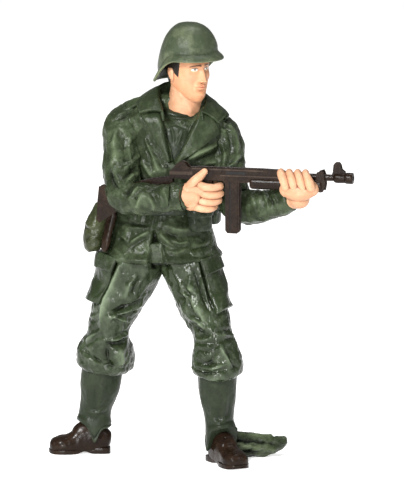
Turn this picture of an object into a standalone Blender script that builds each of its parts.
"""A standing soldier figurine: separate mouldings of PVC that meet on plugs and seats.

Sizes are millimetres in the figure's own frame. +Z is up, the floor is Z 0, the figure faces -Y,
and its left hand is at +X. Right and left are the figure's own. The last step moves the finished
figure so that the middle of its box stands over the origin.
"""

import math
from dataclasses import dataclass, replace

import bmesh
import bpy
from mathutils import Matrix, Vector

MM = 0.001
UP = Vector((0, 0, 1))

# Gaps
SEAT_GAP = 0.2          # between two mouldings that meet and are glued
NECK_GAP = 0.25         # round the neck, which turns in its socket

# Places that the body and limbs run through
HEM_MIDDLE = Vector((-5.1, 0.9, 41.0))
WAIST = Vector((-4.9, 1.2, 51.2))
CHEST = Vector((-2.0, 1.2, 62.0))
SHOULDER_LINE = Vector((-2.2, 1.3, 68.6))
COLLAR_TOP = Vector((-1.4, 1.4, 72.1))
NECK_BASE = Vector((-0.8, 0.9, 69.0))
SHOULDER_RIGHT = Vector((-12.2, 0.6, 66.8))
SHOULDER_LEFT = Vector((7.9, 1.0, 64.9))
ELBOW_RIGHT = Vector((-14.6, -10.6, 53.4))
ELBOW_LEFT = Vector((10.6, -7.0, 51.0))
WRIST_RIGHT = Vector((-0.8, -13.6, 55.2))
WRIST_LEFT = Vector((21.0, -14.2, 54.6))
HIP_RIGHT = Vector((-10.9, 0.6, 39.5))
HIP_LEFT = Vector((0.5, -0.4, 39.5))
KNEE_RIGHT = Vector((-15.4, 0.8, 26.2))
KNEE_LEFT = Vector((5.3, -6.0, 26.0))
HEM_RIGHT = Vector((-16.9, 3.9, 15.6))
HEM_LEFT = Vector((6.3, -5.6, 17.4))
ANKLE_RIGHT = Vector((-18.2, 4.8, 8.0))
ANKLE_LEFT = Vector((6.7, -5.2, 8.6))
GUN_REAR = Vector((-3.0, -10.2, 59.6))      # the middle of the receiver's back end
HEAD_MIDDLE = Vector((0.3, -0.4, 78.7))
HELMET_MIDDLE = Vector((0.3, 0.2, 78.9))    # the middle of the rim's plane

# Directions
TORSO_YAW = math.radians(-3)       # the chest turns to the figure's left by this
HEAD_YAW = math.radians(40)
GUN_YAW = math.radians(14)         # the muzzle comes forward by this
LEFT_FOOT_YAW = math.radians(27)
RIGHT_FOOT_YAW = math.radians(-88)
HELMET_PITCH = math.radians(16)    # the helmet tips back by this

# Head, neck and helmet
HEAD_HALF_WIDTH = 3.9
HEAD_HALF_DEPTH = 4.8
HEAD_HALF_HEIGHT = 6.1
NECK_RADIUS = 3.2
NECK_PLUG_RADIUS = 2.2
NECK_PLUG_LENGTH = 4.5
NECK_HEIGHT = 8.6
NECK_LEAN = Vector((0.13, -0.12, 1.0)).normalized()
HELMET_HALF_WIDTH = 6.0
HELMET_HALF_DEPTH = 6.8
HELMET_HEIGHT = 9.3
HELMET_BRIM = 0.6
HELMET_WALL = 0.8

# Jacket and trousers
JACKET_HEM_HALF_WIDTH = 11.5
JACKET_HEM_HALF_DEPTH = 8.6
WAIST_HALF_WIDTH = 9.4
WAIST_HALF_DEPTH = 6.6
CHEST_HALF_WIDTH = 9.8
CHEST_HALF_DEPTH = 6.8
COLLAR_HALF_WIDTH = 5.6
COLLAR_HALF_DEPTH = 5.0
SKIRT_WALL = 1.3
SKIRT_SPLIT_WIDTH = 3.0
SKIRT_SPLIT_HEIGHT = 6.0
HIP_RADIUS = 6.3
THIGH_RADIUS = 5.4
KNEE_RADIUS = 4.2
BLOUSE_RADIUS = 5.0
HEM_RADIUS = 4.4
POCKET_STAND = 0.9
SLEEVE_TOP_RADIUS = 3.9
SLEEVE_ELBOW_RADIUS = 3.4
SLEEVE_CUFF_RADIUS = 2.5
WRIST_PLUG_RADIUS = 1.4
WRIST_PLUG_LENGTH = 2.2

# Leggings and boots
LEGGING_TOP_RADIUS = 4.0
LEGGING_ANKLE_RADIUS = 3.1
LEGGING_FOOT_HEIGHT = 5.0
KNEE_PLUG_RADIUS = 2.3
KNEE_PLUG_LENGTH = 3.0
ANKLE_PLUG_RADIUS = 1.7
ANKLE_PLUG_LENGTH = 2.4
BOOT_LENGTH = 12.2
BOOT_HALF_WIDTH = 2.6
BOOT_TOE_HEIGHT = 3.3
BOOT_INSTEP_HEIGHT = 7.0
HEEL_BEHIND_ANKLE = 3.0

# Gun
RECEIVER_LENGTH = 22.5
RECEIVER_HEIGHT = 2.1
RECEIVER_WIDTH = 1.9
BARREL_RADIUS = 0.75
BARREL_LENGTH = 14.6
MUZZLE_RADIUS = 1.0
MUZZLE_LENGTH = 3.4
SIGHT_HEIGHT = 1.9
SIGHT_LENGTH = 1.6
GRIP_HEIGHT = 5.2
GRIP_LENGTH = 2.2
GRIP_FROM_REAR = 7.2
MAGAZINE_FROM_REAR = 12.7
MAGAZINE_WIDTH = 3.4
MAGAZINE_THICKNESS = 1.5
MAGAZINE_LENGTH = 10.4
MAGAZINE_WELL = 1.0
FOREGRIP_START = 16.6
FOREGRIP_LENGTH = 14.6
FOREGRIP_RADIUS = 1.05
FOREGRIP_DROP = 1.9
STOCK_LENGTH = 15.2
STOCK_WIDTH = 1.7
STOCK_FRONT_HEIGHT = 1.4
STOCK_BUTT_HEIGHT = 3.2
STOCK_DROP = 6.6

# Belt and what hangs from it
BELT_HEIGHT = 2.4
BELT_THICKNESS = 0.9
POUCH_SIZE = Vector((5.2, 2.2, 4.6))
SIDE_POUCH_SIZE = Vector((2.6, 1.8, 3.4))
CANTEEN_HALF_WIDTH = 3.4
CANTEEN_HALF_DEPTH = 1.9
CANTEEN_HEIGHT = 9.4
SCABBARD_SIZE = Vector((2.0, 1.4, 8.0))

# Crumpled tuft beside the left heel, the third foot
TUFT_LENGTH = 12.6
TUFT_DEPTH = 8.0
TUFT_HEIGHT = 4.6

# How fine the rings are
LIMB_SIDES = 16
BODY_SIDES = 28


def forward(yaw):
    """The level direction that a piece faces when it's turned by yaw to the figure's left."""
    return Vector((math.sin(yaw), -math.cos(yaw), 0.0))


def sideways(yaw):
    """The level direction to the left hand of a piece turned by yaw."""
    return Vector((math.cos(yaw), math.sin(yaw), 0.0))


GUN_AXIS = sideways(-GUN_YAW)
GUN_SIDE = forward(-GUN_YAW)


def along_gun(distance, drop=0.0, out=0.0):
    """The point that far in front of the receiver's back end, below its middle line and out to its right."""
    return GUN_REAR + GUN_AXIS * distance - UP * drop + GUN_SIDE * out


# Name: colour and roughness
PAINTS = {
    "green_pvc": ((0.085, 0.105, 0.07), 0.36),
    "dark_green_pvc": ((0.05, 0.062, 0.042), 0.36),
    "skin_pvc": ((0.87, 0.63, 0.44), 0.45),
    "brown_pvc": ((0.05, 0.034, 0.028), 0.34),
}


def paint(name):
    """The material of that paint, made once."""
    found = bpy.data.materials.get(name)
    if found:
        return found
    colour, roughness = PAINTS[name]
    material = bpy.data.materials.new(name)
    material.use_nodes = True
    shader = material.node_tree.nodes["Principled BSDF"]
    shader.inputs["Base Color"].default_value = (*colour, 1.0)
    shader.inputs["Roughness"].default_value = roughness
    shader.inputs["Metallic"].default_value = 0.0
    return material


def object_of(name, bm, paint_name=None):
    """The object of a bmesh drawn in millimetres. With no paint it's a helper, which isn't a piece."""
    bmesh.ops.recalc_face_normals(bm, faces=bm.faces)
    bmesh.ops.scale(bm, vec=(MM, MM, MM), verts=bm.verts)
    mesh = bpy.data.meshes.new(name)
    bm.to_mesh(mesh)
    bm.free()
    mesh.shade_smooth()
    mesh.set_sharp_from_angle(angle=math.radians(40))
    made = bpy.data.objects.new(name, mesh)
    bpy.context.scene.collection.objects.link(made)
    if paint_name:
        mesh.materials.append(paint(paint_name))
    else:
        made.hide_render = True
        made.display_type = "WIRE"
    return made


@dataclass(frozen=True)
class Ring:
    """One ring of a skin: its centre, half width, half depth, and how square it is (2 is an ellipse)."""

    at: Vector
    width: float
    depth: float
    square: float = 2.0


def between(before, start, end, after, t):
    """A Catmull-Rom curve's value between start and end."""
    return 0.5 * (
        2 * start
        + (end - before) * t
        + (2 * before - 5 * start + 4 * end - after) * t * t
        + (3 * start - before - 3 * end + after) * t**3
    )


def smoothed(rings, steps):
    """The rings, with steps - 1 more between each two on a smooth curve."""
    found = []
    last = len(rings) - 1
    for i in range(last):
        four = [rings[max(i - 1, 0)], rings[i], rings[i + 1], rings[min(i + 2, last)]]
        for step in range(steps):
            t = step / steps
            found.append(
                Ring(
                    between(*[r.at for r in four], t),
                    between(*[r.width for r in four], t),
                    between(*[r.depth for r in four], t),
                    between(*[r.square for r in four], t),
                )
            )
    return found + [rings[-1]]


@dataclass(frozen=True)
class Loft:
    """A closed skin over rings. Its width lies along side, up fixes the rings' normal, and start and
    end are how far its round ends stand out."""

    rings: tuple
    side: Vector = Vector((1, 0, 0))
    sides: int = LIMB_SIDES
    start: float = 0.0
    end: float = 0.0
    up: Vector = None
    steps: int = 3
    floor: float = None

    def ways(self, rings):
        """The direction of the line through the rings at each of them."""
        last = len(rings) - 1
        if self.up is not None:
            return [self.up] * (last + 1)
        return [(rings[min(i + 1, last)].at - rings[max(i - 1, 0)].at).normalized() for i in range(last + 1)]

    def grown(self, by):
        """The rings, made larger all round and longer at both ends by that much."""
        rings = smoothed(self.rings, self.steps)
        ways = self.ways(rings)
        rings = [replace(r, width=r.width + by, depth=r.depth + by) for r in rings]
        rings[0] = replace(rings[0], at=rings[0].at - ways[0] * by)
        rings[-1] = replace(rings[-1], at=rings[-1].at + ways[-1] * by)
        return rings, ways

    def cap(self, ring, way, reach):
        """The rings of a round end from the ring outward along way."""
        arcs = [math.radians(a) for a in (66, 42, 18)]
        return [
            replace(
                ring,
                at=ring.at + way * reach * math.cos(a),
                width=ring.width * math.sin(a),
                depth=ring.depth * math.sin(a),
            )
            for a in arcs
        ]

    def make(self, name, by=0.0, paint_name=None):
        """The object of this skin, grown by that many millimetres."""
        rings, ways = self.grown(by)
        if self.start:
            head = self.cap(rings[0], -ways[0], self.start)
            rings, ways = head[::-1] + rings, [ways[0]] * 3 + ways
        if self.end:
            rings, ways = rings + self.cap(rings[-1], ways[-1], self.end), ways + [ways[-1]] * 3
        bm = bmesh.new()
        loops = [self.loop(bm, ring, way, by) for ring, way in zip(rings, ways)]
        for lower, upper in zip(loops, loops[1:]):
            for k in range(self.sides):
                n = (k + 1) % self.sides
                bm.faces.new((lower[k], lower[n], upper[n], upper[k]))
        bm.faces.new(loops[0])
        bm.faces.new(loops[-1])
        return object_of(name, bm, paint_name)

    def loop(self, bm, ring, way, by):
        """The points of one ring, a superellipse square to way."""
        across = (self.side - way * self.side.dot(way)).normalized()
        deep = way.cross(across)
        power = 2.0 / ring.square
        points = []
        for k in range(self.sides):
            angle = 2 * math.pi * (k + 0.5) / self.sides
            c, s = math.cos(angle), math.sin(angle)
            a = math.copysign(abs(c) ** power, c) * ring.width
            b = math.copysign(abs(s) ** power, s) * ring.depth
            point = ring.at + across * a + deep * b
            if self.floor is not None:
                point.z = max(point.z, self.floor - by)
            points.append(bm.verts.new(point))
        return points


def rod(start, end, radius, sides=LIMB_SIDES, end_radius=None):
    """A round rod, or a cone where end_radius differs."""
    far = end_radius or radius
    side = Vector((1, 0, 0)) if abs((end - start).normalized().x) < 0.9 else Vector((0, 1, 0))
    return Loft((Ring(start, radius, radius), Ring(end, far, far)), side, sides, steps=1)


@dataclass(frozen=True)
class Block:
    """A box with rounded edges, leaning about its own X and then turned by yaw about Z."""

    middle: Vector
    size: tuple
    yaw: float = 0.0
    bevel: float = 0.0
    lean: float = 0.0

    def make(self, name, by=0.0, paint_name=None):
        """The object of this box, grown by that many millimetres."""
        bm = bmesh.new()
        bmesh.ops.create_cube(bm, size=1.0)
        bmesh.ops.scale(bm, vec=Vector(self.size) + Vector((by, by, by)) * 2, verts=bm.verts)
        if self.bevel and not by:
            bmesh.ops.bevel(bm, geom=bm.edges[:], offset=self.bevel, segments=2, profile=0.5, affect="EDGES")
        turn = Matrix.Rotation(self.yaw, 4, "Z") @ Matrix.Rotation(self.lean, 4, "X")
        bmesh.ops.transform(bm, matrix=Matrix.Translation(self.middle) @ turn, verts=bm.verts)
        return object_of(name, bm, paint_name)


def boolean(piece, other, operation):
    """Adds one Boolean to the piece."""
    modifier = piece.modifiers.new(other.name, "BOOLEAN")
    modifier.operation = operation
    modifier.object = other
    modifier.solver = "EXACT"


def moulding(name, paint_name, *shapes):
    """The piece made of the shapes, joined to the first of them."""
    made = shapes[0].make(name, 0.0, paint_name)
    for number, shape in enumerate(shapes[1:]):
        boolean(made, shape.make(f"{name}_shape_{number}"), "UNION")
    return made


def cut(piece, gap, *shapes):
    """Takes the shapes out of the piece, each grown by the gap."""
    for shape in shapes:
        boolean(piece, shape.make(f"{piece.name}_cut_{len(piece.modifiers)}", gap), "DIFFERENCE")


# Jacket and belt

def torso_shape():
    """The jacket from its hem to its collar."""
    return Loft(
        (
            Ring(HEM_MIDDLE, JACKET_HEM_HALF_WIDTH, JACKET_HEM_HALF_DEPTH, 2.3),
            Ring(HEM_MIDDLE.lerp(WAIST, 0.5), JACKET_HEM_HALF_WIDTH - 1.3, JACKET_HEM_HALF_DEPTH - 1.3, 2.3),
            Ring(WAIST, WAIST_HALF_WIDTH, WAIST_HALF_DEPTH, 2.3),
            Ring(WAIST.lerp(CHEST, 0.5), WAIST_HALF_WIDTH + 0.3, WAIST_HALF_DEPTH + 0.3, 2.3),
            Ring(CHEST, CHEST_HALF_WIDTH, CHEST_HALF_DEPTH, 2.4),
            Ring(SHOULDER_LINE, CHEST_HALF_WIDTH + 0.5, CHEST_HALF_DEPTH - 0.9, 2.3),
            Ring(SHOULDER_LINE.lerp(COLLAR_TOP, 0.62), COLLAR_HALF_WIDTH + 2.4, COLLAR_HALF_DEPTH + 0.3),
            Ring(COLLAR_TOP, COLLAR_HALF_WIDTH, COLLAR_HALF_DEPTH),
        ),
        sideways(TORSO_YAW), BODY_SIDES, up=UP, steps=2,
    )


def skirt_split():
    """The wedge cut from the front of the jacket's skirt, open below."""
    front = HEM_MIDDLE + forward(TORSO_YAW) * JACKET_HEM_HALF_DEPTH
    low = front - UP * 1.0
    high = front + UP * SKIRT_SPLIT_HEIGHT
    return Loft(
        (Ring(low, SKIRT_SPLIT_WIDTH / 2, 2.8, 8), Ring(high, 0.12, 2.8, 8)),
        sideways(TORSO_YAW), 12, up=UP, steps=1,
    )


def belt_shape():
    """A web belt round the waist."""
    wide, deep = WAIST_HALF_WIDTH + BELT_THICKNESS, WAIST_HALF_DEPTH + BELT_THICKNESS
    rings = tuple(Ring(WAIST + UP * side * BELT_HEIGHT, wide, deep, 2.3) for side in (-0.5, 0.5))
    return Loft(rings, sideways(TORSO_YAW), BODY_SIDES, up=UP, steps=1)


# Trousers

def leg_shape(hip, knee, hem):
    """A trouser leg from the hip to the hem, which blouses over the legging."""
    return Loft(
        (
            Ring(hip, HIP_RADIUS, HIP_RADIUS + 0.5),
            Ring(hip.lerp(knee, 0.4), THIGH_RADIUS, THIGH_RADIUS + 0.4),
            Ring(knee, KNEE_RADIUS, KNEE_RADIUS + 0.2),
            Ring(knee.lerp(hem, 0.6), BLOUSE_RADIUS, BLOUSE_RADIUS),
            Ring(hem, HEM_RADIUS, HEM_RADIUS),
        ),
        start=1.5,
    )


def hips_shape():
    """The trousers above the crotch, up inside the jacket's skirt."""
    wide = JACKET_HEM_HALF_WIDTH - SKIRT_WALL - SEAT_GAP
    deep = JACKET_HEM_HALF_DEPTH - SKIRT_WALL - SEAT_GAP
    return Loft(
        (
            Ring(HEM_MIDDLE - UP * 2.0, wide - 0.9, deep - 1.3, 2.3),
            Ring(HEM_MIDDLE + UP * 0.6, wide - 0.1, deep - 0.1, 2.3),
            Ring(HEM_MIDDLE + UP * 5.0, wide - 1.6, deep - 1.6, 2.3),
        ),
        sideways(TORSO_YAW), BODY_SIDES, start=0.8, up=UP,
    )


def pocket_shape(hip, knee, side, share):
    """A cargo pocket that stands out from the thigh on the side given."""
    way = (knee - hip).normalized()
    middle = hip.lerp(knee, share) + side * (THIGH_RADIUS + POCKET_STAND - 1.2)
    return Loft(
        (
            Ring(middle - way * 4.4, 1.7, 3.2, 4),
            Ring(middle + way * 4.4, 1.7, 3.4, 4),
        ),
        side, steps=1, start=0.3, end=0.3,
    )


def trouser_shapes():
    """The hips, both legs and both pockets."""
    out_right = forward(math.radians(-78))
    out_left = forward(math.radians(66))
    return [
        hips_shape(),
        leg_shape(HIP_RIGHT, KNEE_RIGHT, HEM_RIGHT),
        leg_shape(HIP_LEFT, KNEE_LEFT, HEM_LEFT),
        pocket_shape(HIP_RIGHT, KNEE_RIGHT, out_right, 0.44),
        pocket_shape(HIP_LEFT, KNEE_LEFT, out_left, 0.44),
    ]


# Leggings and boots

def legging_shapes(hem, ankle):
    """A canvas legging from the trouser hem down over the boot's top, and its plug into the trousers."""
    down = (ankle - hem).normalized()
    top = hem + down * SEAT_GAP
    foot = Vector((ankle.x, ankle.y, LEGGING_FOOT_HEIGHT))
    skin = Loft(
        (
            Ring(top, LEGGING_TOP_RADIUS, LEGGING_TOP_RADIUS),
            Ring(top.lerp(ankle, 0.5), LEGGING_TOP_RADIUS - 0.5, LEGGING_TOP_RADIUS - 0.5),
            Ring(ankle, LEGGING_ANKLE_RADIUS, LEGGING_ANKLE_RADIUS),
            Ring(foot, LEGGING_ANKLE_RADIUS + 0.2, LEGGING_ANKLE_RADIUS + 0.2),
        ),
    )
    return [skin, rod(top + down, top - down * KNEE_PLUG_LENGTH, KNEE_PLUG_RADIUS)]


def boot_shapes(ankle, yaw):
    """A boot with a flat sole, and its plug up into the legging."""
    ahead = forward(yaw)
    heel = Vector((ankle.x, ankle.y, 0)) - ahead * HEEL_BEHIND_ANKLE

    def ring(share, half_width, height):
        """The ring that share of the way to the toe, as wide and high as it says."""
        return Ring(heel + ahead * BOOT_LENGTH * share + UP * height * 0.42, half_width, height * 0.58, 2.5)

    skin = Loft(
        (
            ring(0.05, BOOT_HALF_WIDTH * 0.7, BOOT_INSTEP_HEIGHT * 0.85),
            ring(0.25, BOOT_HALF_WIDTH * 0.86, BOOT_INSTEP_HEIGHT),
            ring(0.5, BOOT_HALF_WIDTH * 0.88, BOOT_INSTEP_HEIGHT * 0.72),
            ring(0.75, BOOT_HALF_WIDTH, BOOT_TOE_HEIGHT * 1.05),
            ring(0.92, BOOT_HALF_WIDTH * 0.84, BOOT_TOE_HEIGHT * 0.9),
        ),
        sideways(yaw), start=0.6, end=0.95, floor=0.0,
    )
    foot = Vector((ankle.x, ankle.y, 0))
    return [skin, rod(foot + UP * 2, foot + UP * (BOOT_INSTEP_HEIGHT + ANKLE_PLUG_LENGTH), ANKLE_PLUG_RADIUS)]


# Gun

def stock_shape():
    """The shoulder stock, a flat bar that drops and deepens to the butt."""
    front = along_gun(-SEAT_GAP, RECEIVER_HEIGHT * 0.3)
    wrist = along_gun(-STOCK_LENGTH * 0.4, RECEIVER_HEIGHT * 0.3 + STOCK_DROP * 0.3)
    butt = along_gun(-STOCK_LENGTH, STOCK_DROP)
    half = STOCK_WIDTH / 2
    return Loft(
        (
            Ring(front, half, STOCK_FRONT_HEIGHT / 2, 5),
            Ring(wrist, half, STOCK_FRONT_HEIGHT * 0.7, 4),
            Ring(butt, half, STOCK_BUTT_HEIGHT, 4),
        ),
        GUN_SIDE, 12, up=-GUN_AXIS, steps=2,
    )


def magazine_shape():
    """The box magazine, whose top sits up in the receiver's well."""
    height = MAGAZINE_LENGTH + MAGAZINE_WELL
    middle = along_gun(MAGAZINE_FROM_REAR, RECEIVER_HEIGHT / 2 - MAGAZINE_WELL + height / 2)
    return Block(middle, (MAGAZINE_WIDTH, MAGAZINE_THICKNESS, height), -GUN_YAW, 0.3)


def gun_shapes():
    """The receiver, barrel, muzzle, pistol grip and both sights."""
    end = RECEIVER_LENGTH + BARREL_LENGTH
    grip = along_gun(GRIP_FROM_REAR, RECEIVER_HEIGHT / 2 + GRIP_HEIGHT / 2 - 0.3)
    sight = along_gun(end - MUZZLE_LENGTH * 0.75, -(MUZZLE_RADIUS + SIGHT_HEIGHT) / 2)
    rear_sight = along_gun(2.8, -(RECEIVER_HEIGHT / 2 + 0.5))
    return [
        Block(along_gun(RECEIVER_LENGTH / 2), (RECEIVER_LENGTH, RECEIVER_WIDTH, RECEIVER_HEIGHT), -GUN_YAW, 0.4),
        rod(along_gun(RECEIVER_LENGTH - 1), along_gun(end - 0.3), BARREL_RADIUS, 12),
        rod(along_gun(end - MUZZLE_LENGTH), along_gun(end), MUZZLE_RADIUS, 14),
        Block(grip, (GRIP_LENGTH, RECEIVER_WIDTH - 0.4, GRIP_HEIGHT), -GUN_YAW, 0.3),
        Block(sight, (SIGHT_LENGTH, 0.8, SIGHT_HEIGHT + MUZZLE_RADIUS), -GUN_YAW),
        Block(rear_sight, (2.6, 0.9, 1.5), -GUN_YAW),
    ]


def foregrip_shape():
    """The wooden foregrip under the barrel."""
    start = along_gun(FOREGRIP_START, FOREGRIP_DROP)
    end = along_gun(FOREGRIP_START + FOREGRIP_LENGTH, FOREGRIP_DROP - 0.3)
    return Loft(
        (
            Ring(start, FOREGRIP_RADIUS, FOREGRIP_RADIUS * 0.9),
            Ring(start.lerp(end, 0.7), FOREGRIP_RADIUS, FOREGRIP_RADIUS),
            Ring(end, FOREGRIP_RADIUS * 1.2, FOREGRIP_RADIUS * 1.4),
        ),
        GUN_SIDE, 12, start=0.3, end=0.3, steps=2,
    )


# Arms and hands

def arm_shape(shoulder, elbow, wrist):
    """A sleeve bent at the elbow, from the shoulder's round end to the cuff."""
    return Loft(
        (
            Ring(shoulder, SLEEVE_TOP_RADIUS, SLEEVE_TOP_RADIUS),
            Ring(shoulder.lerp(elbow, 0.42), SLEEVE_TOP_RADIUS - 0.3, SLEEVE_TOP_RADIUS - 0.3),
            Ring(shoulder.lerp(elbow, 0.8), SLEEVE_ELBOW_RADIUS, SLEEVE_ELBOW_RADIUS),
            Ring(elbow.lerp(wrist, 0.27), SLEEVE_ELBOW_RADIUS, SLEEVE_ELBOW_RADIUS),
            Ring(elbow.lerp(wrist, 0.62), SLEEVE_ELBOW_RADIUS - 0.5, SLEEVE_ELBOW_RADIUS - 0.5),
            Ring(wrist, SLEEVE_CUFF_RADIUS, SLEEVE_CUFF_RADIUS),
        ),
        (elbow - shoulder).cross(wrist - elbow).normalized(), start=2.8, steps=2,
    )


def wrist_shape(elbow, wrist, hand):
    """The hand's wrist: a plug into the sleeve, and a neck that widens into the hand."""
    inward = (elbow - wrist).normalized()
    return Loft(
        (
            Ring(wrist + inward * WRIST_PLUG_LENGTH, WRIST_PLUG_RADIUS, WRIST_PLUG_RADIUS),
            Ring(wrist, WRIST_PLUG_RADIUS, WRIST_PLUG_RADIUS),
            Ring(hand, WRIST_PLUG_RADIUS, WRIST_PLUG_RADIUS),
        ),
        (elbow - wrist).cross(hand - wrist).normalized(), steps=1,
    )


def finger_shapes(knuckles, way, length, radius, spread):
    """Four round fingers side by side, each one that long."""
    return [
        Loft(
            (
                Ring(knuckles + spread * k, radius, radius),
                Ring(knuckles + spread * k + way * length, radius * 0.9, radius * 0.9),
            ),
            GUN_SIDE, 10, start=radius, end=radius, steps=1,
        )
        for k in range(4)
    ]


def right_hand_shapes():
    """The right hand: its palm against the pistol grip's near side, and fingers round the front."""
    grip = along_gun(GRIP_FROM_REAR, RECEIVER_HEIGHT / 2 + GRIP_HEIGHT / 2)
    palm = grip - GUN_AXIS * 1.6 + GUN_SIDE * 1.2
    back = Loft(
        (
            Ring(palm - UP * 2.4, 2.2, 1.5, 2.4),
            Ring(palm, 2.7, 1.9, 2.4),
            Ring(palm + UP * 2.2, 2.2, 1.6, 2.4),
        ),
        GUN_AXIS, start=0.7, end=0.8, up=UP,
    )
    thumb_root = palm + UP * 1.6 + GUN_SIDE * 0.6
    thumb_tip = along_gun(GRIP_FROM_REAR + 0.4, -0.4, RECEIVER_WIDTH / 2 + 0.5)
    thumb = Loft(
        (Ring(thumb_root, 1.1, 1.1), Ring(thumb_tip, 0.75, 0.75)),
        GUN_SIDE, 10, start=0.6, end=0.7, steps=1,
    )
    knuckles = grip + GUN_AXIS * 0.5 + GUN_SIDE * 1.6 + UP * 1.9
    fingers = finger_shapes(knuckles, GUN_AXIS, 2.0, 0.8, Vector((-0.1, 0, -1.4)))
    return [back, wrist_shape(ELBOW_RIGHT, WRIST_RIGHT, palm + GUN_AXIS * 0.5), thumb] + fingers


def left_hand_shapes():
    """The left hand: its palm under the foregrip, and fingers up the near side."""
    hold = along_gun(FOREGRIP_START + FOREGRIP_LENGTH * 0.68, FOREGRIP_DROP * 0.6)
    palm = hold - UP * 1.5
    back = Loft(
        (
            Ring(palm - GUN_AXIS * 2.6, 1.9, 1.8, 2.4),
            Ring(palm, 2.4, 2.3, 2.4),
            Ring(palm + GUN_AXIS * 2.6, 2.0, 1.9, 2.4),
        ),
        GUN_SIDE, start=0.6, end=0.6,
    )
    knuckles = hold + GUN_SIDE * 1.7 - GUN_AXIS * 2.4 - UP * 0.8
    fingers = finger_shapes(knuckles, UP, 2.8, 0.85, GUN_AXIS * 1.6)
    return [back, wrist_shape(ELBOW_LEFT, WRIST_LEFT, palm)] + fingers


# Pieces on the belt

def waist_point(angle, out, drop):
    """A point round the waist: angle 0 is the front, positive to the figure's left."""
    across, deep = WAIST_HALF_WIDTH + BELT_THICKNESS, WAIST_HALF_DEPTH + BELT_THICKNESS
    reach = 1.0 / math.hypot(math.sin(angle) / across, math.cos(angle) / deep)
    return WAIST + forward(TORSO_YAW + angle) * (reach + out) - UP * drop


def hung_block(angle, size, drop):
    """A pouch on the belt, square to the waist at that angle."""
    return Block(waist_point(angle, size.y / 2 + 0.15, drop), size, TORSO_YAW + angle, 0.5)


def canteen_shape():
    """The canteen in its cover, flat against the hip and fuller below."""
    angle = math.radians(-80)
    top = waist_point(angle, CANTEEN_HALF_DEPTH + 0.5, 0.6)
    foot = waist_point(angle, CANTEEN_HALF_DEPTH + 2.2, CANTEEN_HEIGHT)
    return Loft(
        (
            Ring(foot, CANTEEN_HALF_WIDTH, CANTEEN_HALF_DEPTH, 2.4),
            Ring(foot.lerp(top, 0.5), CANTEEN_HALF_WIDTH * 0.95, CANTEEN_HALF_DEPTH, 2.2),
            Ring(top, CANTEEN_HALF_WIDTH * 0.6, CANTEEN_HALF_DEPTH * 0.7),
        ),
        sideways(TORSO_YAW + angle), start=0.6, end=0.8, steps=2,
    )


def scabbard_shape():
    """The brown scabbard that hangs in front of the canteen."""
    angle = math.radians(-56)
    top = waist_point(angle, 1.4, 1.4)
    foot = waist_point(angle, 3.1, 1.4 + SCABBARD_SIZE.z)
    half_width, half_depth = SCABBARD_SIZE.x / 2, SCABBARD_SIZE.y / 2
    return Loft(
        (Ring(foot, half_width, half_depth, 2.6), Ring(top, half_width, half_depth, 2.6)),
        sideways(TORSO_YAW + angle), 10, start=0.4, end=0.4, steps=1,
    )


# Head

def head_shapes():
    """The head with its nose, the neck, and the plug that turns in the collar."""
    ahead = forward(HEAD_YAW)
    jaw = HEAD_MIDDLE - UP * (HEAD_HALF_HEIGHT - 0.5) + ahead * 1.8
    skull = Loft(
        (
            Ring(jaw, HEAD_HALF_WIDTH * 0.45, HEAD_HALF_DEPTH * 0.45),
            Ring(jaw + UP * 1.6 - ahead * 0.5, HEAD_HALF_WIDTH * 0.74, HEAD_HALF_DEPTH * 0.7),
            Ring(HEAD_MIDDLE - UP * 2.0 + ahead * 0.3, HEAD_HALF_WIDTH * 0.93, HEAD_HALF_DEPTH * 0.92),
            Ring(HEAD_MIDDLE + UP * 1.0, HEAD_HALF_WIDTH, HEAD_HALF_DEPTH),
            Ring(HEAD_MIDDLE + UP * 3.8, HEAD_HALF_WIDTH * 0.88, HEAD_HALF_DEPTH * 0.9),
        ),
        sideways(HEAD_YAW), 20, start=0.5, end=HEAD_HALF_HEIGHT * 0.4, up=UP, steps=2,
    )
    nose = HEAD_MIDDLE + ahead * (HEAD_HALF_DEPTH + 0.05) - UP * 1.3
    root = NECK_BASE
    return [
        skull,
        Block(nose, (1.0, 1.4, 2.2), HEAD_YAW, 0.3, math.radians(-16)),
        rod(root, root + NECK_LEAN * NECK_HEIGHT, NECK_RADIUS, 20, NECK_RADIUS * 0.9),
        rod(root + NECK_LEAN, root - NECK_LEAN * NECK_PLUG_LENGTH, NECK_PLUG_RADIUS, 20),
    ]


def helmet_rings(inset):
    """The helmet's rings from rim to crown, inset by the wall to make its hollow."""
    up = Matrix.Rotation(HEAD_YAW, 3, "Z") @ Matrix.Rotation(-HELMET_PITCH, 3, "X") @ UP
    wide, deep = HELMET_HALF_WIDTH - inset, HELMET_HALF_DEPTH - inset
    rings = [Ring(HELMET_MIDDLE, wide + HELMET_BRIM, deep + HELMET_BRIM, 2.1)]
    for angle in (8, 24, 42, 58, 72):
        a = math.radians(angle)
        at = HELMET_MIDDLE + up * ((HELMET_HEIGHT - inset) * math.sin(a))
        rings.append(Ring(at, wide * math.cos(a) ** 0.85, deep * math.cos(a) ** 0.85, 2.1))
    return rings, up


def helmet_shape(inset=0.0):
    """The helmet's dome, or the hollow in it."""
    rings, up = helmet_rings(inset)
    if inset:
        rings = [replace(r, at=r.at - up * 0.5) for r in rings]
    return Loft(tuple(rings), sideways(HEAD_YAW), BODY_SIDES, end=HELMET_HEIGHT * 0.045, up=up, steps=2)


# Tuft

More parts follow.
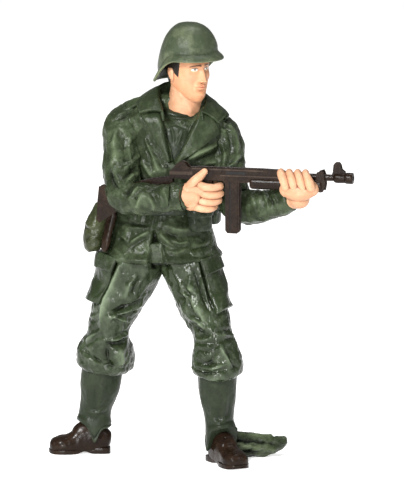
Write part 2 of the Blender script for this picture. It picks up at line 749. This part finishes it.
def tuft_shape():
    """The low crumpled tuft behind the left boot that steadies the figure."""
    near = Vector((ANKLE_LEFT.x + 0.6, ANKLE_LEFT.y + TUFT_DEPTH * 0.6, 0))
    way = Vector((0.96, 0.28, 0)).normalized()

    def ring(share, half_depth, height):
        """The ring that share of the tuft's length from its end at the boot."""
        return Ring(near + way * TUFT_LENGTH * share + UP * height * 0.4, half_depth, height * 0.6, 2.2)

    return Loft(
        (
            ring(0.0, TUFT_DEPTH * 0.36, TUFT_HEIGHT * 0.85),
            ring(0.35, TUFT_DEPTH * 0.5, TUFT_HEIGHT),
            ring(0.7, TUFT_DEPTH * 0.42, TUFT_HEIGHT * 0.8),
            ring(0.96, TUFT_DEPTH * 0.2, TUFT_HEIGHT * 0.5),
        ),
        Vector((0, 1, 0)), start=0.6, end=0.6, floor=0.0,
    )


def centre_on_floor(pieces):
    """Parents the pieces to one empty and moves it, so that their box is centred over the origin."""
    bpy.context.view_layer.update()
    graph = bpy.context.evaluated_depsgraph_get()
    corners = []
    for piece in pieces:
        shown = piece.evaluated_get(graph)
        corners += [shown.matrix_world @ Vector(c) for c in shown.bound_box]
    low = [min(c[k] for c in corners) for k in range(3)]
    high = [max(c[k] for c in corners) for k in range(3)]
    everything = list(bpy.context.scene.collection.objects)
    figure = bpy.data.objects.new("figure", None)
    bpy.context.scene.collection.objects.link(figure)
    for made in everything:
        made.parent = figure
    figure.location = (-(low[0] + high[0]) / 2, -(low[1] + high[1]) / 2, -low[2])


def build():
    """Makes every piece, and cuts in each the seats of the pieces that meet it."""
    for old in list(bpy.data.objects):
        bpy.data.objects.remove(old)

    pants = trouser_shapes()
    sleeve_right = arm_shape(SHOULDER_RIGHT, ELBOW_RIGHT, WRIST_RIGHT)
    sleeve_left = arm_shape(SHOULDER_LEFT, ELBOW_LEFT, WRIST_LEFT)
    face = head_shapes()
    boot_right = boot_shapes(ANKLE_RIGHT, RIGHT_FOOT_YAW)
    boot_left = boot_shapes(ANKLE_LEFT, LEFT_FOOT_YAW)
    canvas_right = legging_shapes(HEM_RIGHT, ANKLE_RIGHT)
    canvas_left = legging_shapes(HEM_LEFT, ANKLE_LEFT)
    gun = gun_shapes()

    torso = moulding("torso", "green_pvc", torso_shape())
    cut(torso, SEAT_GAP, *pants[:3], sleeve_right, sleeve_left, stock_shape())
    cut(torso, 0.0, skirt_split())
    cut(torso, NECK_GAP, face[2], face[3])

    trousers = moulding("trousers", "green_pvc", *pants)
    cut(trousers, SEAT_GAP, *canvas_right, *canvas_left)

    belt = moulding("belt", "dark_green_pvc", belt_shape())
    cut(belt, SEAT_GAP, torso_shape(), sleeve_right)

    hung = {
        "ammo_pouch": ("dark_green_pvc", hung_block(math.radians(38), POUCH_SIZE, 2.0)),
        "side_pouch": ("dark_green_pvc", hung_block(math.radians(76), SIDE_POUCH_SIZE, 1.2)),
        "canteen": ("green_pvc", canteen_shape()),
        "scabbard": ("brown_pvc", scabbard_shape()),
    }
    for name, (paint_name, shape) in hung.items():
        piece = moulding(name, paint_name, shape)
        cut(piece, SEAT_GAP, torso_shape(), belt_shape(), stock_shape())

    for side, canvas, foot in (("right", canvas_right, boot_right), ("left", canvas_left, boot_left)):
        legging = moulding(side + "_legging", "green_pvc", *canvas)
        cut(legging, SEAT_GAP, *foot)
        moulding(side + "_boot", "brown_pvc", *foot)

    grasp_right, grasp_left = right_hand_shapes(), left_hand_shapes()
    for side, sleeve, grasp in (("right", sleeve_right, grasp_right), ("left", sleeve_left, grasp_left)):
        arm = moulding(side + "_arm", "green_pvc", sleeve)
        cut(arm, SEAT_GAP, *grasp[:3], stock_shape())

    moulding("gun_stock", "brown_pvc", stock_shape())
    body = moulding("gun_body", "brown_pvc", *gun)
    cut(body, SEAT_GAP, magazine_shape())
    moulding("gun_magazine", "brown_pvc", magazine_shape())
    foregrip = moulding("gun_foregrip", "brown_pvc", foregrip_shape())
    cut(foregrip, SEAT_GAP, gun[0], gun[1])

    right_hand = moulding("right_hand", "skin_pvc", *grasp_right)
    cut(right_hand, SEAT_GAP, gun[0], gun[3], magazine_shape(), stock_shape())
    left_hand = moulding("left_hand", "skin_pvc", *grasp_left)
    cut(left_hand, SEAT_GAP, gun[0], gun[1], foregrip_shape())

    moulding("head", "skin_pvc", *face)
    helmet = moulding("helmet", "green_pvc", helmet_shape())
    cut(helmet, 0.0, helmet_shape(HELMET_WALL))
    cut(helmet, SEAT_GAP, face[0])

    tuft = moulding("ground_tuft", "green_pvc", tuft_shape())
    cut(tuft, SEAT_GAP, *boot_left, canvas_left[0])

    centre_on_floor([o for o in bpy.context.scene.collection.objects if not o.hide_render])


build()
